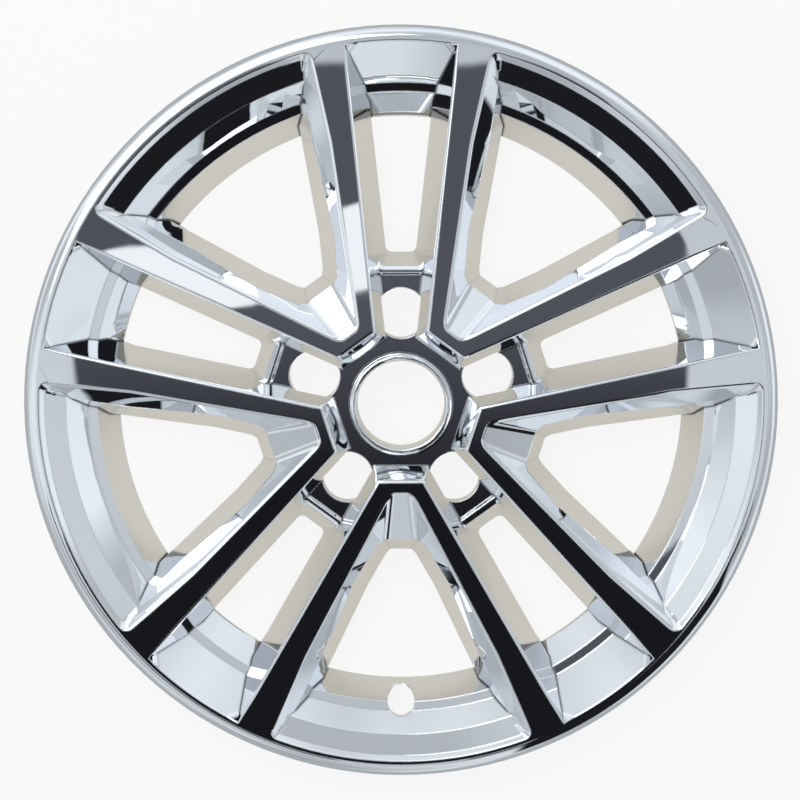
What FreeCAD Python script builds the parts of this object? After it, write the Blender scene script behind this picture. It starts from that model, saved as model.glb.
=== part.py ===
import FreeCAD, Part
import itertools
import math
import os

Vec = FreeCAD.Vector
os.makedirs("parts", exist_ok=True)

# Driving dimensions, in millimetres and degrees
SECTORS = 5
OUTER_R = 222.5          # outside of the rim band
RIM_BAND = 9.5           # width of the rim outside the windows
RIM_FLAT = 1.8           # level strip of the rim next to the windows
RIM_Z = 36.0             # height of the rim's top face above the lowest back edge
CROWN = 3.0              # rise of the spoke faces from the rim to the hub
WALL = 2.5               # thickness of the moulding
LIP_DEPTH = 9.0          # turned-down edge of the rim band
LIP_DROP = 4.5           # fall of the rim band from its top to its outer edge
BAND_FACETS = 5          # steps of the rim band's curve
BACK_Z = 10.0            # height of the spokes' back edges

# Hub
BORE_R = 26.0            # centre hole
BEAD_W = 4.0             # width of the ring around the centre hole
BEAD_H = 7.0             # height of that ring above the hub floor
HUB_FLOOR = 12.0         # depth of the hub floor below the rim's top face
HUB_APOTHEM = 44.5       # centre to each V's outer edge, at its top
RISER_SLOPE = 63.0       # slope of the facets between hub floor and V
LUG_PCD = 108.0          # circle of the wheel-nut holes
LUG_HOLE_R = 15.0
LUG_SIDE = 1.2           # arm wall outside the wheel-nut hole, at its top edge
LUG_DEPTH = 28.0         # foot of the wheel-nut tubes below the rim's top face
POCKET_STEP = 1.5        # pocket between wheel-nut hole and bridge, below the hub floor
BRIDGE_W = 4.5           # width of the bridge at the hub end of a narrow window
BRIDGE_CUT = 1.4         # its broken edges

# Arms, the narrow windows between the V's
ARM_FLARE = 6.04         # each arm wall's opening angle from the arm's axis
ARM_SLOPE = 68.5         # slope of the arm walls
ARM_HUB_S = 81.0         # hub end of the narrow window, at the bridge
ARM_HUB_RUN = 8.8        # how far that end leans outward to its back edge
ARM_CORNER_R = 4.4       # rounding of the hub end's corners
RAMP_RUN = 23.0          # ramp at the rim end, across and down
RAMP_DROP = 22.0
RAMP_STEP = 5.5          # level strip below the ramp
ARM_FOOT_RUN = 14.0      # facet below that strip, down to the back edge

# V's, the wide windows inside the twin spokes
VEE_TIP_V = 52.0         # hub tip of the window, from the axis
VEE_TIP_HALF = 6.4       # half width of that tip
VEE_ANGLE = 27.6         # each bevel's opening angle from the V's axis
VEE_BEND_V = 149.0       # where the bevel's top edge turns in a little
VEE_BEND_ANGLE = 23.5
BEVEL_SLOPE = 48.0       # slope of the bevels along the spokes
TIP_R = 8.0              # rounding between the hub facet and the bevels
FACET_RUN = 29.3         # hub facet, across and down
FACET_DROP = 13.0
VEE_HUB_RUN = 7.6        # wall below the hub facet, across, down to the back edge
WELL_HALF = 6.2          # half width of the hub end of the opening at the back
WELL_CORNER = 2.8        # chamfered corner there
WELL_ANGLE = 30.0        # first stretch of the side walls at the back edge
WELL_KINK_V = 110.5      # where the side walls turn
WELL_FAR_ANGLE = 25.6    # second stretch
WELL_SLOPE = 66.3        # slope of the side walls
CORNER_R = 6.0           # rounding of the rim corners
RIM_STEP_RUN = 2.7       # small step at the rim, across and down
RIM_STEP_DROP = 2.8
RIM_BEVEL_RUN = 12.3     # rim bevel, across and down
RIM_BEVEL_DROP = 3.4
RIM_WALL_RUN = 11.4      # steep wall below it
RIM_WALL_DROP = 11.5
LEDGE_RUN = 5.6          # ledge
LEDGE_DROP = 0.9
FOOT_RUN = 11.6          # facet from the ledge down to the back edge

# Valve hole and catches
VALVE_R = 8.2
CATCH_LENGTH = 18.0
CATCH_PROUD = 1.8
CATCH_HEIGHT = 5.0

# Places that follow from the dimensions
RIM_R = OUTER_R - RIM_BAND
LUG_R = LUG_PCD / 2
ARM_HALF = LUG_HOLE_R + LUG_SIDE
STEP = 360.0 / SECTORS
HIGH = RIM_Z + CROWN + 12.0
LOW = -1.0
CENTRE = Vec(0, 0, RIM_Z - HUB_FLOOR)
AXIS = Vec(0, 0, 1)


def tan(angle):
    return math.tan(math.radians(angle))


def top_z(radius):
    """Height of the spoke faces, a shallow cone from the hub to the rim."""
    crest = RIM_R + RIM_FLAT
    share = (crest - radius) / (crest - HUB_APOTHEM)
    return RIM_Z + CROWN * max(share, 0.0)


def on_top(x, y):
    return Vec(x, y, top_z(math.hypot(x, y)))


def slope_plane(p, q, slope, inside):
    """Plane through the line p-q that falls at a slope toward the point inside."""
    along = Vec(q.x - p.x, q.y - p.y, 0)
    across = Vec(-along.y, along.x, 0)
    across.normalize()
    if across.dot(inside - p) < 0:
        across = across.negative()
    down = across - AXIS * tan(slope)
    normal = (q - p).cross(down)
    normal.normalize()
    if normal.dot(AXIS) > 0:
        normal = normal.negative()
    return (normal, normal.dot(p), True)


def through(a, b, c, inside):
    """Plane through three points, with the point inside behind it."""
    normal = (b - a).cross(c - a)
    normal.normalize()
    if normal.dot(inside - a) > 0:
        normal = normal.negative()
    return (normal, normal.dot(a), True)


def meet(first, second, third):
    """The point that three planes share."""
    (a, da, _), (b, db, _), (c, dc, _) = first, second, third
    return (b.cross(c) * da + c.cross(a) * db + a.cross(b) * dc) * (1.0 / a.dot(b.cross(c)))


def cap(normal, place):
    """Flat end of a cutter, which stays where it is when the cutter grows."""
    return (normal, normal.dot(place), False)


def mirrored(plane):
    normal, reach, grows = plane
    return (Vec(-normal.x, normal.y, normal.z), reach, grows)


def both(*planes):
    return list(planes) + [mirrored(p) for p in planes]


def convex(planes, grow=0.0):
    """Solid bounded by planes, each moved outward by grow."""
    sides = [(n, d + grow if grows else d) for n, d, grows in planes]
    corners = [[] for _ in sides]
    for i, j, k in itertools.combinations(range(len(sides)), 3):
        (a, da), (b, db), (c, dc) = sides[i], sides[j], sides[k]
        if abs(a.dot(b.cross(c))) < 1e-9:
            continue
        corner = meet((a, da, True), (b, db, True), (c, dc, True))
        if all(n.dot(corner) <= d + 1e-6 for n, d in sides):
            for side in (i, j, k):
                if all((corner - old).Length > 1e-5 for old in corners[side]):
                    corners[side].append(corner)
    faces = []
    for (normal, _), points in zip(sides, corners):
        if len(points) < 3:
            continue
        middle = sum(points, Vec()) * (1.0 / len(points))
        first = (points[0] - middle).normalize()
        second = normal.cross(first)
        points.sort(key=lambda p: math.atan2((p - middle).dot(second), (p - middle).dot(first)))
        faces.append(Part.Face(Part.makePolygon(points + [points[0]])))
    return Part.Solid(Part.Shell(faces))


def grown_line(points, grow):
    """Polyline moved sideways by grow, to the right of its direction."""
    moved = []
    for (ax, ay), (bx, by) in zip(points, points[1:]):
        length = math.hypot(bx - ax, by - ay)
        sx, sy = (by - ay) / length * grow, -(bx - ax) / length * grow
        moved.append(((ax + sx, ay + sy), (bx + sx, by + sy)))
    result = [moved[0][0]]
    for ((ax, ay), (bx, by)), ((cx, cy), (dx, dy)) in zip(moved, moved[1:]):
        det = (bx - ax) * (dy - cy) - (by - ay) * (dx - cx)
        share = ((cx - ax) * (dy - cy) - (cy - ay) * (dx - cx)) / det
        result.append((ax + share * (bx - ax), ay + share * (by - ay)))
    result.append(moved[-1][1])
    return result


def turned(points):
    """Solid of revolution about the wheel's axis from a closed (radius, height) outline."""
    outline = [Vec(r, 0, z) for r, z in points]
    face = Part.Face(Part.makePolygon(outline + [outline[0]]))
    return face.revolve(Vec(), AXIS, 360)


def rim_end(steps, grow):
    """Everything inside the stepped rim end of a window."""
    line = [(RIM_R, RIM_Z)]
    for run, drop in steps:
        r, z = line[-1]
        line.append((r - run, z - drop))
    first, second = line[0], line[1]
    rise = HIGH - RIM_Z
    lead = (first[0] + rise * (first[0] - second[0]) / (first[1] - second[1]), HIGH)
    before, last = line[-2], line[-1]
    fall = (last[1] - LOW) / (before[1] - last[1])
    tail = (last[0] + fall * (last[0] - before[0]), LOW)
    outline = grown_line([tail] + line[-2:0:-1] + [lead], grow)
    return turned([(0, LOW)] + outline + [(0, HIGH)])


def fuse(shapes):
    return shapes[0].multiFuse(shapes[1:]).removeSplitter()


def around(shape, start):
    """The same shape in every sector; start is the turn of the first one."""
    copies = []
    for k in range(SECTORS):
        copy = shape.copy()
        copy.rotate(Vec(), AXIS, start + k * STEP)
        copies.append(copy)
    return copies


def straight_foot(cutter):
    """The cutter with its sides straight down below the spokes' back edges."""
    outline = cutter.slice(AXIS, BACK_Z)[0]
    return fuse([cutter, Part.Face(outline).extrude(AXIS * (LOW - BACK_Z))])


CAPS = [cap(AXIS, Vec(0, 0, HIGH)), cap(AXIS.negative(), Vec(0, 0, LOW))]


def vee_window(grow=0.0):
    """Cutter of one wide window, with the V's axis along +Y."""
    inside = Vec(0, 140, 0)
    far = cap(Vec(0, 1, 0), Vec(0, OUTER_R + 5, 0))
    bend_x = VEE_TIP_HALF + (VEE_BEND_V - VEE_TIP_V) * tan(VEE_ANGLE)
    tip = on_top(VEE_TIP_HALF, VEE_TIP_V)
    bend = on_top(bend_x, VEE_BEND_V)
    corner = on_top(bend_x + (RIM_R - VEE_BEND_V) * tan(VEE_BEND_ANGLE), RIM_R)
    bevel = slope_plane(tip, bend, BEVEL_SLOPE, inside)
    far_bevel = slope_plane(bend, corner, BEVEL_SLOPE, inside)
    facet_top = Vec(0, VEE_TIP_V, tip.z)
    facet_slope = math.degrees(math.atan(FACET_DROP / FACET_RUN))
    facet = slope_plane(facet_top, facet_top + Vec(1, 0, 0), facet_slope, inside)
    funnel = convex(both(bevel, far_bevel) + [facet, far] + CAPS, grow)

    # The opening below the bevels: a hub wall, chamfered corners and two stretches of side wall
    foot = Vec(0, VEE_TIP_V + FACET_RUN, tip.z - FACET_DROP)
    hub_v = foot.y + VEE_HUB_RUN
    hub_slope = math.degrees(math.atan((foot.z - BACK_Z) / VEE_HUB_RUN))
    hub = Vec(0, hub_v, BACK_Z)
    hub_wall = slope_plane(hub, hub + Vec(1, 0, 0), hub_slope, inside)
    near = Vec(WELL_HALF, hub_v, BACK_Z)
    shoulder = near + Vec(WELL_CORNER, WELL_CORNER, 0)
    kink = shoulder + Vec((WELL_KINK_V - shoulder.y) * tan(WELL_ANGLE), WELL_KINK_V - shoulder.y, 0)
    end = kink + Vec((RIM_R - kink.y) * tan(WELL_FAR_ANGLE), RIM_R - kink.y, 0)
    cut_corner = slope_plane(near, shoulder, hub_slope, inside)
    side = slope_plane(shoulder, kink, WELL_SLOPE, inside)
    far_side = slope_plane(kink, end, WELL_SLOPE, inside)
    lid = cap(AXIS, Vec(0, 0, RIM_Z - RIM_STEP_DROP - RIM_BEVEL_DROP / 2))
    well = straight_foot(convex(both(cut_corner, side, far_side) + [hub_wall, far, lid, CAPS[1]], grow))
    # Rounded tip of the hub facet, then the stepped rim end with its rounded corners
    funnel = funnel.makeFillet(TIP_R + grow, [e for e in funnel.Edges if is_tip_edge(e)])
    rim = rim_end(VEE_STEPS, grow)
    funnel = funnel.common(rim)
    corners = [e for e in funnel.Edges if is_rim_corner(e)]
    funnel = funnel.makeFillet(CORNER_R + grow, corners)
    return fuse([funnel, well.common(rim)])


def is_tip_edge(edge):
    """True for the two edges between a wide window's hub facet and its bevels."""
    middle = edge.valueAt((edge.FirstParameter + edge.LastParameter) / 2)
    a, b = edge.Vertexes[0].Point, edge.Vertexes[-1].Point
    return middle.y < VEE_BEND_V and a.x * b.x > 0 and abs(a.z - b.z) > CROWN and abs(middle.x) < RIM_BAND * 3


def is_rim_corner(edge):
    """True for the edges between a wide window's bevels and its rim end."""
    a, b = edge.Vertexes[0].Point, edge.Vertexes[-1].Point
    low = RIM_Z - RIM_STEP_DROP - RIM_BEVEL_DROP - WALL
    return min(a.y, b.y) > VEE_BEND_V and abs(a.z - b.z) > 1.0 and a.x * b.x > 0 and min(a.z, b.z) > low


def arm_walls(grow, *ends):
    """Space between one arm's two walls, along +Y, closed by the planes in ends."""
    inside = Vec(0, 120, 0)
    near = on_top(ARM_HALF, LUG_R)
    far_half = ARM_HALF + (RIM_R - LUG_R) * tan(ARM_FLARE)
    wall = slope_plane(near, on_top(far_half, RIM_R), ARM_SLOPE, inside)
    return convex(both(wall) + list(ends) + CAPS[:1], grow)


def arm_window(grow=0.0):
    """Cutter of one narrow window, open through the back, along +Y."""
    inside = Vec(0, 120, 0)
    far = cap(Vec(0, 1, 0), Vec(0, OUTER_R + 5, 0))
    crest = Vec(0, ARM_HUB_S, RIM_Z - HUB_FLOOR)
    slope = math.degrees(math.atan((crest.z - BACK_Z) / ARM_HUB_RUN))
    hub_end = slope_plane(crest, crest + Vec(1, 0, 0), slope, inside)
    shape = arm_walls(grow, hub_end, far, CAPS[1])
    corners = [e for e in shape.Edges if is_hub_corner(e)]
    shape = straight_foot(shape.makeFillet(ARM_CORNER_R + grow, corners))
    return shape.common(rim_end(ARM_STEPS, grow))


def is_hub_corner(edge):
    """True for the two leaning edges between a narrow window's hub end and its walls."""
    a, b = edge.Vertexes[0].Point, edge.Vertexes[-1].Point
    return abs(a.z - b.z) > 20 and max(a.y, b.y) < OUTER_R / 2


def arm_recess(grow=0.0):
    """Cutter of the hub floor's arm, from the hub to the bridge, with the pocket before it."""
    end = cap(Vec(0, 1, 0), Vec(0, ARM_HUB_S + 1.0, 0))
    start = cap(Vec(0, -1, 0), Vec(0, BORE_R + BEAD_W + 1.0, 0))
    floor = (AXIS.negative(), -CENTRE.z, True)
    shape = arm_walls(grow, start, end, floor)
    pocket_end = (Vec(0, 1, 0), ARM_HUB_S - BRIDGE_W, False)
    pocket_start = cap(Vec(0, -1, 0), Vec(0, LUG_R, 0))
    deeper = (AXIS.negative(), -(CENTRE.z - POCKET_STEP), True)
    pocket = arm_walls(grow, pocket_start, pocket_end, deeper)
    return fuse([shape, pocket])


def hub_recess(grow=0.0):
    """Cutter of the five-sided hub floor."""
    planes = [(AXIS.negative(), -CENTRE.z, True), CAPS[0]]
    for k in range(SECTORS):
        turn = math.radians(270 + k * STEP)
        out = Vec(math.cos(turn), math.sin(turn), 0)
        along = Vec(-out.y, out.x, 0)
        edge = out * HUB_APOTHEM + Vec(0, 0, top_z(HUB_APOTHEM))
        planes.append(slope_plane(edge, edge + along, RISER_SLOPE, CENTRE))
    return convex(planes, grow)


def tube(radius, x, y, low, high):
    return Part.makeCylinder(radius, high - low, Vec(x, y, low))


def ring_bead():
    """Raised ring around the centre hole, with broken edges."""
    outer = BORE_R + BEAD_W
    low = CENTRE.z - WALL
    high = CENTRE.z + BEAD_H
    cut = BEAD_W * 0.3
    outline = [(BORE_R, low), (outer + 1.0, low), (outer, high - cut)]
    outline += [(outer - cut, high), (BORE_R + cut, high), (BORE_R, high - cut)]
    return turned(outline)


def dish():
    """Solid under the front surface, down to the line of the back edges."""
    line = [Vec(0, 0, BACK_Z), Vec(RIM_R - 50, 0, BACK_Z), Vec(RIM_R - 45, 0, 0)]
    line += [Vec(RIM_R - 24, 0, 0), Vec(RIM_R + 1, 0, RIM_Z - LIP_DROP - LIP_DEPTH)]
    line += [Vec(OUTER_R, 0, RIM_Z - LIP_DROP - LIP_DEPTH), Vec(OUTER_R, 0, RIM_Z - LIP_DROP)]
    flat = Vec(RIM_R + RIM_FLAT, 0, RIM_Z)
    back = [flat, Vec(BORE_R, 0, top_z(BORE_R)), Vec(0, 0, top_z(BORE_R)), Vec(0, 0, BACK_Z)]
    middle = (flat + line[-1]) * 0.5 + Vec(1, 0, 1) * (LIP_DROP * 0.2)
    band = Part.Arc(line[-1], middle, flat).toShape().discretize(BAND_FACETS + 1)
    wire = Part.makePolygon(line + band[1:-1] + back)
    solid = Part.Face(wire).revolve(Vec(), AXIS, 360)
    solid.rotate(Vec(), AXIS, 90)
    return solid


def hollow():
    """Space behind the skin, open at the back."""
    inner = OUTER_R - WALL
    under = RIM_Z - LIP_DROP - WALL
    hub_top = top_z(BORE_R) - WALL
    outline = [(0, LOW), (inner, LOW), (inner, under), (RIM_R, RIM_Z - WALL), (BORE_R, hub_top), (0, hub_top)]
    return turned(outline)


def catch():
    """Small wedge on the hidden side of a wide window's wall, along +Y's right side."""
    hub_v = VEE_TIP_V + FACET_RUN + VEE_HUB_RUN
    shoulder = Vec(WELL_HALF + WELL_CORNER, hub_v + WELL_CORNER, BACK_Z)
    kink_x = shoulder.x + (WELL_KINK_V - shoulder.y) * tan(WELL_ANGLE)
    along = Vec(math.sin(math.radians(WELL_FAR_ANGLE)), math.cos(math.radians(WELL_FAR_ANGLE)), 0)
    out = Vec(along.y, -along.x, 0)
    lean = 1.0 / tan(WELL_SLOPE)
    thick = WALL / math.sin(math.radians(WELL_SLOPE))
    foot = Vec(kink_x, WELL_KINK_V, BACK_Z) + along * (VEE_BEND_V - WELL_KINK_V) * 0.4 + out * (thick - 0.6)
    high = foot + AXIS * CATCH_HEIGHT + out * lean * CATCH_HEIGHT
    nose = foot + AXIS * CATCH_HEIGHT * 0.6 + out * (lean * CATCH_HEIGHT * 0.6 + CATCH_PROUD + 0.6)
    wedge = Part.Face(Part.makePolygon([foot, high, nose, foot]))
    return wedge.extrude(along * CATCH_LENGTH)


VEE_STEPS = [(RIM_STEP_RUN, RIM_STEP_DROP), (RIM_BEVEL_RUN, RIM_BEVEL_DROP), (RIM_WALL_RUN, RIM_WALL_DROP)]
VEE_STEPS += [(LEDGE_RUN, LEDGE_DROP)]
VEE_STEPS += [(FOOT_RUN, RIM_Z - sum(drop for _, drop in VEE_STEPS))]
ARM_STEPS = [(RAMP_RUN, RAMP_DROP), (RAMP_STEP, LEDGE_DROP)]
ARM_STEPS += [(ARM_FOOT_RUN, RIM_Z - RAMP_DROP - LEDGE_DROP)]
VALVE_AT = RIM_R - sum(run for run, _ in VEE_STEPS[:4])


def cutters(grow):
    """Every space that the front surface leaves, or the same grown by the wall."""
    shapes = around(vee_window(grow), 180)
    shapes.append(fuse([hub_recess(grow)] + around(fuse([arm_window(grow), arm_recess(grow)]), 0)))
    foot = RIM_Z - LUG_DEPTH
    for lug in around(tube(LUG_HOLE_R + grow, 0, LUG_R, foot - 1, CENTRE.z + 1), 0):
        shapes.append(lug)
    shapes.append(tube(BORE_R + grow, 0, 0, BACK_Z - 1, HIGH))
    return shapes


def is_bridge_edge(edge):
    """True for the two edges along the top of each bridge."""
    a, b = edge.Vertexes[0].Point, edge.Vertexes[-1].Point
    radius = math.hypot((a.x + b.x) / 2, (a.y + b.y) / 2)
    level = abs(a.z - CENTRE.z) < 0.01 and abs(b.z - CENTRE.z) < 0.01
    return level and ARM_HUB_S - BRIDGE_W - 0.1 < radius < ARM_HUB_S + 0.1 and (a - b).Length > BRIDGE_W * 2


def wheel_cover():
    front = dish().cut(cutters(0.0)).removeSplitter()
    front = front.makeChamfer(BRIDGE_CUT, [e for e in front.Edges if is_bridge_edge(e)])
    back = hollow().cut(cutters(WALL))
    valve = tube(VALVE_R, 0, -VALVE_AT, LOW, RIM_Z)
    catches = around(catch(), 180) + around(catch().mirror(Vec(), Vec(1, 0, 0)), 180)
    return front.fuse(ring_bead()).cut([back, valve]).fuse(catches).removeSplitter()


cover = wheel_cover()
print("solids", len(cover.Solids), "valid", cover.isValid(), "volume cm3", round(cover.Volume / 1000, 1))
cover.exportStep("parts/wheel_cover.step")
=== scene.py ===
# %% [markdown]
# # A chrome wheel cover
# The cover is one moulding in ABS plastic, plated bright all over. Its solids come from the CAD
# model, which is loaded as a fixed frame: every piece here is in metres and in that same frame.
# What is left for Blender is what makes chrome look like chrome: smooth shading over true flats and
# rounded edges, a finish that is nearly a mirror, and a studio for that mirror to show.

# %% Load the frame
import math

import bpy
from mathutils import Matrix, Vector


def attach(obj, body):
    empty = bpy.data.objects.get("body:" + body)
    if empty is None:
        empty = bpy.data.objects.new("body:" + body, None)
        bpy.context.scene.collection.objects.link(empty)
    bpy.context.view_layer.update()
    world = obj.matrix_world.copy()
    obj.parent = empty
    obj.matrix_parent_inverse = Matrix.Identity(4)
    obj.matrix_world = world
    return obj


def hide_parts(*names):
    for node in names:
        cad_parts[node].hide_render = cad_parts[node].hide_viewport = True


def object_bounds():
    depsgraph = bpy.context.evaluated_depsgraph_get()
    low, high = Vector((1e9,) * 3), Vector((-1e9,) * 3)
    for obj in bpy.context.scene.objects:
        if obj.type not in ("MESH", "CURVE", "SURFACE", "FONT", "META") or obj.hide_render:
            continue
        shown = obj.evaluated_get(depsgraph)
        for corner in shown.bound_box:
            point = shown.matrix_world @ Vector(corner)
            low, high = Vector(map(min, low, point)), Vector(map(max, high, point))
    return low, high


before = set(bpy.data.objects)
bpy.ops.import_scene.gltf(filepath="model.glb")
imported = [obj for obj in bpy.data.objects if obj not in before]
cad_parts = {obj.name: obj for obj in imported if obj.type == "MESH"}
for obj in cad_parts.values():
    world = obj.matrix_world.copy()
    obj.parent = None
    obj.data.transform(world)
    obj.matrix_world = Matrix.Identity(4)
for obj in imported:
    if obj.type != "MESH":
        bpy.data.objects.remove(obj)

cad_low, cad_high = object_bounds()
cad_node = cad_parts["wheel_cover"]
scene = bpy.context.scene
scene.view_settings.view_transform = "Standard"
print("CAD box in mm:", [round(1000 * v, 1) for v in (cad_high - cad_low)])


# %% [markdown]
# ## The moulding
# The CAD mesh is loose triangles. In a copy of it the corners that lie together are merged, and
# triangles in one plane are joined to one face, so that each flat of the moulding is one face too.
# The two empty material slots are needed in the next step.

# %% Copy and merge the moulding
MERGE_WITHIN = 0.000002
ONE_PLANE = math.radians(0.02)


def only(piece):
    """Deselects everything, then selects this piece and makes it active."""
    bpy.ops.object.select_all(action="DESELECT")
    piece.select_set(True)
    bpy.context.view_layer.objects.active = piece


cover = bpy.data.objects.new("plated_cover", cad_node.data.copy())
scene.collection.objects.link(cover)
cover.data.materials.clear()
for _ in range(2):
    cover.data.materials.append(None)
only(cover)
loose_corners = len(cover.data.vertices)
bpy.ops.mesh.customdata_custom_splitnormals_clear()
bpy.ops.object.mode_set(mode="EDIT")
bpy.ops.mesh.select_mode(type="EDGE")
bpy.ops.mesh.select_all(action="SELECT")
bpy.ops.mesh.remove_doubles(threshold=MERGE_WITHIN)
bpy.ops.mesh.dissolve_limited(angle_limit=ONE_PLANE)
bpy.ops.mesh.select_all(action="DESELECT")
bpy.ops.object.mode_set(mode="OBJECT")
print("corners:", loose_corners, "loose,", len(cover.data.vertices), "merged")

# %% [markdown]
# The solids have crisp edges, but a moulding never has. Around the spoke faces the tool's edges are
# rounded by a little over a millimetre, and that narrow round draws the thin bright line along every
# spoke. A Bevel modifier makes it, on the edges between a level face and a steeper one. Each edge
# carries a weight, so that the round is full along the spokes and tighter where the narrow rim strip
# begins. The strips that it makes are marked by the second material slot.

# %% Round the edges of the spoke faces
RIM_TOP = 0.036
FACE_ROUND = 0.0013
ROUND_MARK = 1
RIM_STRIP = 0.2135
TIGHTER_FROM, TIGHTER_TO = 0.2075, 0.2125
TIGHTER_BY = 0.6
LEVEL, STEEP = 0.999, 0.95


def faces_by_edge(mesh):
    """For each edge, the faces on its two sides."""
    sides = {}
    for face in mesh.polygons:
        for key in face.edge_keys:
            sides.setdefault(key, []).append(face)
    return sides


mesh = cover.data
sides = faces_by_edge(mesh)
weights = mesh.attributes.new("bevel_weight_edge", "FLOAT", "EDGE")
rounded = 0
for edge in mesh.edges:
    ends = [mesh.vertices[v].co for v in edge.vertices]
    tilts = sorted(face.normal.z for face in sides[edge.key])
    out = max(end.xy.length for end in ends)
    on_face = min(end.z for end in ends) > RIM_TOP - 0.00005
    if on_face and out < RIM_STRIP and tilts[-1] > LEVEL and tilts[0] < STEEP:
        near_rim = min(max((out - TIGHTER_FROM) / (TIGHTER_TO - TIGHTER_FROM), 0.0), 1.0)
        weights.data[edge.index].value = 1.0 - TIGHTER_BY * near_rim
        rounded += 1
rounding = cover.modifiers.new("tool_edge", "BEVEL")
rounding.limit_method = "WEIGHT"
rounding.width = FACE_ROUND
rounding.segments = 3
rounding.use_clamp_overlap = False
rounding.loop_slide = False
rounding.material = ROUND_MARK
only(cover)
bpy.ops.object.modifier_apply(modifier=rounding.name)
print("edges rounded:", rounded)

# %% [markdown]
# A mirror shows every error in the normals, so the shading has to know which faces are flat. Folds of
# more than 13 degrees between two plain faces stay crisp, and between two large flats even slight ones
# do. Everything else is smooth, and the Weighted Normal modifier lets each large face pull the normals
# of its corners, so the flats reflect as true planes and only the narrow rounds bend the reflection.

# %% Shade the flats and the rounded edges
RING_OUTSIDE = 0.0305
LARGE_FLAT = 0.0004
FLAT_FOLD, CREASE_FOLD, HARD_FOLD = math.radians(1.5), math.radians(13), math.radians(60)

only(cover)
bpy.ops.object.shade_smooth()
mesh = cover.data
sides = faces_by_edge(mesh)
crisp = 0
for edge in mesh.edges:
    near = sides[edge.key]
    round_strip = any(face.material_index == ROUND_MARK for face in near)
    fold = near[0].normal.angle(near[1].normal, 0.0) if len(near) == 2 else math.pi
    on_ring = max(mesh.vertices[v].co.xy.length for v in edge.vertices) < RING_OUTSIDE
    soft = round_strip or on_ring and min(face.normal.z for face in near) > -0.5
    two_flats = min(face.area for face in near) > LARGE_FLAT and fold > FLAT_FOLD
    edge.use_edge_sharp = fold > HARD_FOLD or two_flats or (fold > CREASE_FOLD and not soft)
    crisp += edge.use_edge_sharp
weighting = cover.modifiers.new("flats_first", "WEIGHTED_NORMAL")
weighting.mode = "FACE_AREA"
weighting.weight = 90
weighting.keep_sharp = True
bpy.ops.object.modifier_apply(modifier=weighting.name)
print("faces:", len(mesh.polygons), "crisp edges:", crisp)

# %% [markdown]
# The spoke faces are not quite level. Together they are one shallow cone that rises 3 mm from the rim
# to the hub, and its triangles are long and uneven, so averaged normals would ripple in the mirror. The
# cone's own normal is known at every point, so the corners that lie on it are given just that.

# %% True normals on the spoke faces
CONE_RISE = 0.003
CONE_FOOT, CONE_CREST = 0.2148, 0.0445
FACING_UP = 0.75
steepness = math.atan(CONE_RISE / (CONE_FOOT - CONE_CREST))


def cone_height(out):
    """Height of the spoke faces at a distance from the axis."""
    return RIM_TOP + CONE_RISE * (CONE_FOOT - out) / (CONE_FOOT - CONE_CREST)


normals = [corner.vector.copy() for corner in mesh.corner_normals]
on_cone = 0
for face in mesh.polygons:
    if face.normal.z < FACING_UP:
        continue
    for corner in face.loop_indices:
        point = mesh.vertices[mesh.loops[corner].vertex_index].co
        out = point.xy.length
        if out < CONE_FOOT + 0.00002 and abs(point.z - cone_height(out)) < 0.00004:
            lean = point.xy.normalized() * math.sin(steepness)
            normals[corner] = Vector((lean.x, lean.y, math.cos(steepness)))
            on_cone += 1
mesh.normals_split_custom_set(normals)
print("corners on the cone:", on_cone)


# %% [markdown]
# ## Helpers for nodes
# Materials and the studio are built from the same few kinds of node. Each helper adds one node to a
# tree and returns its output. Where it takes a value, that is a number, a colour or another output.

# %% Node helpers
def feed(tree, slot, value):
    """Links an output to an input, or sets the input to a number or a colour."""
    if isinstance(value, bpy.types.NodeSocket):
        tree.links.new(value, slot)
    else:
        slot.default_value = (*value, 1.0) if isinstance(value, tuple) else value


def calc(tree, operation, first, second=0.0):
    """A Math node."""
    node = tree.nodes.new("ShaderNodeMath")
    node.operation = operation
    feed(tree, node.inputs[0], first)
    feed(tree, node.inputs[1], second)
    return node.outputs["Value"]


def stretch(tree, value, start, end, low=0.0, high=1.0):
    """Maps a value from one range to another, and holds it there."""
    node = tree.nodes.new("ShaderNodeMapRange")
    for name, number in (("From Min", start), ("From Max", end), ("To Min", low), ("To Max", high)):
        node.inputs[name].default_value = number
    feed(tree, node.inputs["Value"], value)
    return node.outputs["Result"]


def fade(tree, value, start, end):
    """0 at start, 1 at end, smooth between."""
    result = stretch(tree, value, start, end)
    result.node.interpolation_type = "SMOOTHSTEP"
    return result


def blend(tree, amount, first, second):
    """Mixes two colours."""
    node = tree.nodes.new("ShaderNodeMix")
    node.data_type = "RGBA"
    feed(tree, node.inputs["Factor"], amount)
    colours = [slot for slot in node.inputs if slot.type == "RGBA"]
    feed(tree, colours[0], first)
    feed(tree, colours[1], second)
    return [slot for slot in node.outputs if slot.type == "RGBA"][0]


def mix_shaders(tree, amount, first, second):
    """Mixes two shaders."""
    node = tree.nodes.new("ShaderNodeMixShader")
    feed(tree, node.inputs["Fac"], amount)
    tree.links.new(first, node.inputs[1])
    tree.links.new(second, node.inputs[2])
    return node.outputs["Shader"]


def noise(tree, coordinates, scale, detail):
    """A noise texture on one kind of texture coordinates."""
    place = tree.nodes.new("ShaderNodeTexCoord")
    node = tree.nodes.new("ShaderNodeTexNoise")
    node.inputs["Scale"].default_value = scale
    node.inputs["Detail"].default_value = detail
    tree.links.new(place.outputs[coordinates], node.inputs["Vector"])
    return node.outputs["Fac"]


def fresh_material(name):
    """A material with nodes, its node tree and its Principled shader."""
    material = bpy.data.materials.new(name)
    material.use_nodes = True
    return material, material.node_tree, material.node_tree.nodes["Principled BSDF"]


print("node helpers are ready")


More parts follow.
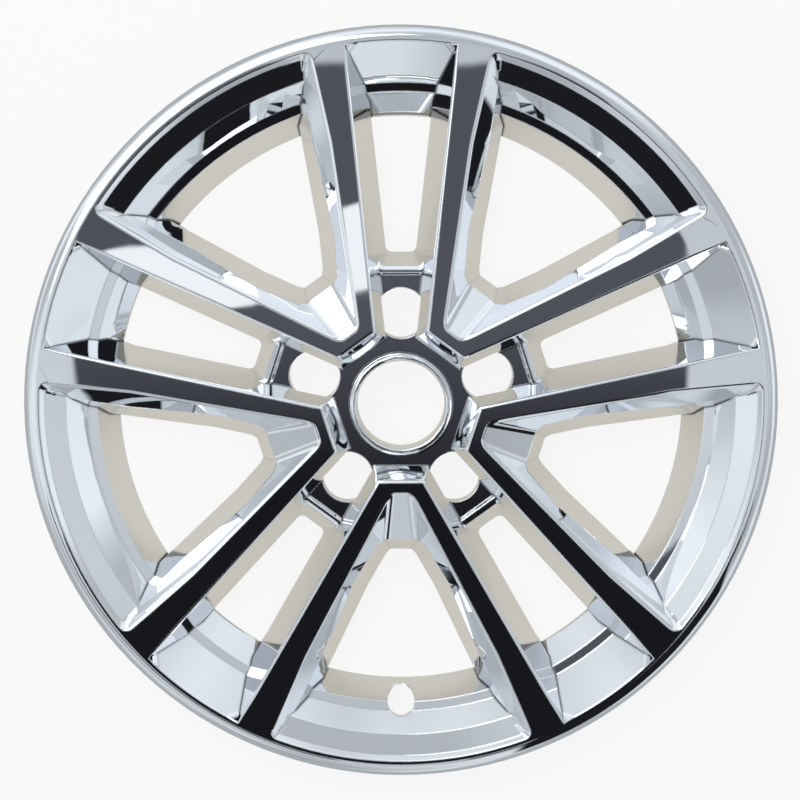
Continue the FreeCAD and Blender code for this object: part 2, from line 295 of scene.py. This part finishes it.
# %% [markdown]
# ## The finish
# Chrome plating on plastic is a mirror with a faint blue cast. It is not perfect: the plastic under it
# sinks a little as it cools, so straight reflections wander, and polishing leaves the gloss slightly
# uneven. Two noise textures on Object coordinates give those two things. The creases get painted shade:
# an Ambient Occlusion node finds them and darkens the colour there to a dark line. A Bevel node softens
# the remaining crisp edges in the reflection.

# %% Plating
CREASE_WIDTH = 0.0022
CREASE_CLOSED, CREASE_OPEN = 0.62, 0.90
SOFT_EDGE = 0.0011


def plating(name, colour, crease_shade, gloss, wave_height):
    """Chrome plate: its colour, the painted shade colour in its creases, a range of roughness, and its
    waves' height.
    """
    material, tree, shader = fresh_material(name)
    shader.inputs["Metallic"].default_value = 1.0
    # Painted shade: where the AO node finds creases, the base colour is darkened towards the dark colour
    # given for them.
    shade_occlusion = tree.nodes.new("ShaderNodeAmbientOcclusion")
    shade_occlusion.samples = 8
    shade_occlusion.only_local = True
    shade_occlusion.inputs["Distance"].default_value = CREASE_WIDTH
    unshaded_share = stretch(tree, shade_occlusion.outputs["AO"], CREASE_CLOSED, CREASE_OPEN)
    feed(tree, shader.inputs["Base Color"], blend(tree, unshaded_share, crease_shade, colour))
    clouds = noise(tree, "Object", 55.0, 3.0)
    feed(tree, shader.inputs["Roughness"], stretch(tree, clouds, 0.3, 0.7, *gloss))
    soft_edge = tree.nodes.new("ShaderNodeBevel")
    soft_edge.samples = 6
    soft_edge.inputs["Radius"].default_value = SOFT_EDGE
    waves = tree.nodes.new("ShaderNodeBump")
    waves.inputs["Strength"].default_value = 1.0
    waves.inputs["Distance"].default_value = wave_height
    feed(tree, waves.inputs["Height"], noise(tree, "Object", 15.0, 1.0))
    feed(tree, waves.inputs["Normal"], soft_edge.outputs["Normal"])
    feed(tree, shader.inputs["Normal"], waves.outputs["Normal"])
    return material


# The second colour of each plating is painted shade, used deep in the creases.
bright_chrome = plating("bright_chrome", (0.90, 0.92, 0.95), (0.10, 0.10, 0.12), (0.006, 0.022), 0.00007)
dull_back = plating("dull_plated_back", (0.50, 0.51, 0.53), (0.30, 0.30, 0.32), (0.28, 0.42), 0.0003)
print("platings:", bright_chrome.name, dull_back.name)

# %% [markdown]
# The back is plated with the front, but nobody polishes it, so it is greyer and duller. Faces that look
# down get that finish, and then the whole piece takes the place of the CAD node.

# %% Front and back
LOOKING_DOWN = -0.05

cover.data.materials.clear()
cover.data.materials.append(bright_chrome)
cover.data.materials.append(dull_back)
for face in cover.data.polygons:
    face.material_index = 1 if face.normal.z < LOOKING_DOWN else 0
print("faces on the back:", sum(face.material_index for face in cover.data.polygons))
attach(cover, "root")
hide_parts("wheel_cover")


# %% [markdown]
# ## The floor
# The cover lies on its back on a sheet of warm white paper. In mirrors the paper shows mostly a painted
# reflection instead of its lit shading: a glow that is cream close by, where the steep window walls
# mirror it, and a painted grey farther out, where the rim mirrors it. For the camera the sheet shines a
# little by itself, so that it comes out white as a cut-out background does, and keeps a soft shadow.

# %% Floor
FLOOR_SIZE = 6.0
FLOOR_GAP = 0.0005
PAINTED_CREAM_NEAR, PAINTED_GREY_FAR = (0.68, 0.64, 0.55), (0.36, 0.39, 0.42)
NEAR_END, FAR_START = 0.20, 0.24
SHINE_FOR_CAMERA, SHINE_IN_MIRROR = 0.88, 0.72

bpy.ops.object.select_all(action="DESELECT")
bpy.ops.mesh.primitive_plane_add(size=FLOOR_SIZE, location=(0, 0, cad_low.z - FLOOR_GAP))
floor = bpy.context.object
floor.name = "paper_floor"
bpy.ops.object.transform_apply(location=True)
paper, tree, shader = fresh_material("warm_white_paper")
shader.inputs["Base Color"].default_value = (0.88, 0.84, 0.76, 1.0)
shader.inputs["Roughness"].default_value = 0.9
ray = tree.nodes.new("ShaderNodeLightPath")
place = tree.nodes.new("ShaderNodeTexCoord")
reach = tree.nodes.new("ShaderNodeVectorMath")
reach.operation = "LENGTH"
tree.links.new(place.outputs["Object"], reach.inputs[0])
# Painted reflection: for glossy rays the paper glows cream close by and grey farther out, mixed over its
# own lit shading.
painted_reflection_glow = tree.nodes.new("ShaderNodeEmission")
far = stretch(tree, reach.outputs["Value"], NEAR_END, FAR_START)
feed(tree, painted_reflection_glow.inputs["Color"], blend(tree, far, PAINTED_CREAM_NEAR, PAINTED_GREY_FAR))
white_glow = tree.nodes.new("ShaderNodeEmission")
white_glow.inputs["Color"].default_value = (1.0, 1.0, 1.0, 1.0)
in_mirror = calc(tree, "MULTIPLY", ray.outputs["Is Glossy Ray"], SHINE_IN_MIRROR)
for_camera = calc(tree, "MULTIPLY", ray.outputs["Is Camera Ray"], SHINE_FOR_CAMERA)
sheet = mix_shaders(tree, in_mirror, shader.outputs["BSDF"], painted_reflection_glow.outputs["Emission"])
sheet = mix_shaders(tree, for_camera, sheet, white_glow.outputs["Emission"])
tree.links.new(sheet, tree.nodes["Material Output"].inputs["Surface"])
floor.data.materials.append(paper)
print("floor at", round(1000 * (cad_low.z - FLOOR_GAP), 2), "mm")


# %% [markdown]
# ## The studio
# A mirror has no look of its own, so the studio around it makes the picture. Nearly all of this one is
# pale, and its walls are a little darker to the lower side of the picture, with brighter and darker
# places. Directions in it are read as across (to the right), along (up in the picture) and height.

# %% Pale walls
world = bpy.data.worlds.new("pale_studio")
scene.world = world
world.use_nodes = True
tree = world.node_tree
tree.nodes.clear()

where = tree.nodes.new("ShaderNodeTexCoord")
split = tree.nodes.new("ShaderNodeSeparateXYZ")
tree.links.new(where.outputs["Generated"], split.inputs["Vector"])
across, along, height = split.outputs["X"], split.outputs["Y"], split.outputs["Z"]
walls = blend(tree, fade(tree, along, -0.8, 0.7), (0.60, 0.64, 0.66), (0.74, 0.78, 0.82))
places = stretch(tree, noise(tree, "Generated", 1.8, 1.0), 0.38, 0.62, 0.66, 1.22)
lit = tree.nodes.new("ShaderNodeVectorMath")
lit.operation = "SCALE"
tree.links.new(walls, lit.inputs[0])
tree.links.new(places, lit.inputs["Scale"])
studio = lit.outputs["Vector"]
print("wall nodes:", len(tree.nodes))

# %% [markdown]
# Chrome needs dark things to show its shape. A dark panel stands to the lower right, and a narrow dark
# beam runs high up on each of the two lower sides. The wide windows' rim bevels at the top of the
# picture lean just so that they mirror the beams as broad black bands.

# %% Dark panel and beams
BLACK_CLOTH = (0.012, 0.012, 0.014)
PANEL_TURN, BEAM_MIDDLE, BEAM_TURN = math.radians(-54), math.radians(90), math.radians(36)


def product(tree, *masks):
    """Multiplies several masks."""
    result = masks[0]
    for mask in masks[1:]:
        result = calc(tree, "MULTIPLY", result, mask)
    return result


def distance(tree, value, middle):
    """How far a value is from a middle one, on either side."""
    return calc(tree, "ABSOLUTE", calc(tree, "SUBTRACT", value, middle))


turn = calc(tree, "ARCTAN2", along, across)
panel = product(tree, fade(tree, distance(tree, turn, PANEL_TURN), 0.36, 0.32),
                fade(tree, height, 0.30, 0.36), fade(tree, height, 0.965, 0.945))
studio = blend(tree, panel, studio, BLACK_CLOTH)
beam_side = distance(tree, distance(tree, turn, -BEAM_MIDDLE), BEAM_TURN)
beam = product(tree, fade(tree, beam_side, 0.50, 0.47),
               fade(tree, height, 0.860, 0.868), fade(tree, height, 0.920, 0.912))
studio = blend(tree, beam, studio, BLACK_CLOTH)
print("with panel and beams:", len(tree.nodes))

# %% [markdown]
# Over the cover there is a dark patch with rounded corners, where the camera and the dark end of the
# room are, and the spoke faces mirror just that patch. It lies to the lower side and is black there,
# and grey to the upper side. So the lower spokes come out black, and the upper ones grey with pale ends.
# One strip light crosses it on the left and puts a white stretch on two of the spokes.

# %% Dark patch and strip light
PATCH_MIDDLE = (-0.008, -0.130)
PATCH_REACH = (0.163, 0.214)
CORNER_POWER = 4.0
PATCH_SLANT, STRIP_SLANT = 0.645, 0.304
STRIP_MIDDLE = 0.0152


def patch_part(tree, value, middle, reach):
    """One direction's share of the rounded patch: 1 at its edge."""
    share = calc(tree, "DIVIDE", calc(tree, "SUBTRACT", value, middle), reach)
    return calc(tree, "POWER", calc(tree, "ABSOLUTE", share), CORNER_POWER)


edge_share = calc(tree, "ADD", patch_part(tree, across, PATCH_MIDDLE[0], PATCH_REACH[0]),
                  patch_part(tree, along, PATCH_MIDDLE[1], PATCH_REACH[1]))
overhead = fade(tree, height, 0.5, 0.7)
slanted_end = calc(tree, "ADD", across, calc(tree, "MULTIPLY", along, PATCH_SLANT))
patch = product(tree, fade(tree, edge_share, 1.05, 0.97), overhead,
                fade(tree, slanted_end, 0.1465, 0.1445))
patch_colour = blend(tree, fade(tree, along, -0.15, -0.03), (0.010, 0.010, 0.012), (0.085, 0.088, 0.105))
studio = blend(tree, patch, studio, patch_colour)

strip_line = calc(tree, "ADD", calc(tree, "MULTIPLY", across, STRIP_SLANT), STRIP_MIDDLE)
strip = product(tree, fade(tree, distance(tree, along, strip_line), 0.0195, 0.0170),
                fade(tree, across, -0.010, -0.014), fade(tree, across, -0.156, -0.150), overhead)
studio = blend(tree, strip, studio, (0.95, 0.96, 0.97))
print("with patch and strip:", len(tree.nodes))

# %% [markdown]
# The camera itself sees plain white behind the floor, and everything else sees the studio.

# %% White for the camera
background = tree.nodes.new("ShaderNodeBackground")
tree.links.new(studio, background.inputs["Color"])
background.inputs["Strength"].default_value = 1.0
white = tree.nodes.new("ShaderNodeBackground")
white.inputs["Color"].default_value = (1.0, 1.0, 1.0, 1.0)
white.inputs["Strength"].default_value = 1.0
ray = tree.nodes.new("ShaderNodeLightPath")
chosen = mix_shaders(tree, ray.outputs["Is Camera Ray"], background.outputs["Background"],
                     white.outputs["Background"])
output = tree.nodes.new("ShaderNodeOutputWorld")
tree.links.new(chosen, output.inputs["Surface"])
print("studio nodes:", len(tree.nodes))


# %% [markdown]
# ## The lamp
# One large soft lamp, high and to the upper left, gives the floor a shadow with a direction and puts the
# thin white lines on the rounded edges of the spokes.

# %% Soft lamp
LAMP_PLACE = Vector((-0.9, 1.1, 1.6))
LAMP_SIZE = 1.6
LAMP_POWER = 12.0

bpy.ops.object.select_all(action="DESELECT")
bpy.ops.object.light_add(type="AREA", location=LAMP_PLACE)
lamp = bpy.context.object
lamp.name = "soft_lamp_upper_left"
lamp.data.shape = "RECTANGLE"
lamp.data.size = lamp.data.size_y = LAMP_SIZE
lamp.data.energy = LAMP_POWER
lamp.rotation_mode = "QUATERNION"
lamp.rotation_quaternion = (-LAMP_PLACE).to_track_quat("-Z", "Y")
print("lamp:", lamp.name)


# %% [markdown]
# ## The camera
# The photograph looks almost straight down on the face, from a little above its middle line, with a long
# lens. The angle, distance and framing were measured on the rim's outline and the five nut holes.

# %% Camera
VIEW_TILT = math.radians(5.2)
VIEW_DISTANCE = 1.4
PICTURE_WIDTH = 800
SENSOR_WIDTH = 36.0
METRES_PER_PIXEL = 0.0005885
AIM_PIXEL = (401.0, 405.75)

toward = Vector((0.0, math.sin(VIEW_TILT), math.cos(VIEW_TILT)))
image_up = Vector((0.0, math.cos(VIEW_TILT), -math.sin(VIEW_TILT)))
image_right = Vector((1.0, 0.0, 0.0))
bpy.ops.object.select_all(action="DESELECT")
bpy.ops.object.camera_add()
camera = bpy.context.object
camera.name = "photo_camera"
camera.data.sensor_width = SENSOR_WIDTH
camera.data.lens = SENSOR_WIDTH * VIEW_DISTANCE / METRES_PER_PIXEL / PICTURE_WIDTH
camera.data.clip_start, camera.data.clip_end = 0.01, 50.0
camera.rotation_mode = "QUATERNION"
camera.rotation_quaternion = Matrix((image_right, image_up, toward)).transposed().to_quaternion()
aim_right = image_right * (PICTURE_WIDTH / 2 - AIM_PIXEL[0]) * METRES_PER_PIXEL
aim_up = image_up * (AIM_PIXEL[1] - PICTURE_WIDTH / 2) * METRES_PER_PIXEL
camera.location = Vector((0.0, 0.0, RIM_TOP)) + toward * VIEW_DISTANCE + aim_right + aim_up
scene.camera = camera
print("lens in mm:", round(camera.data.lens, 2))
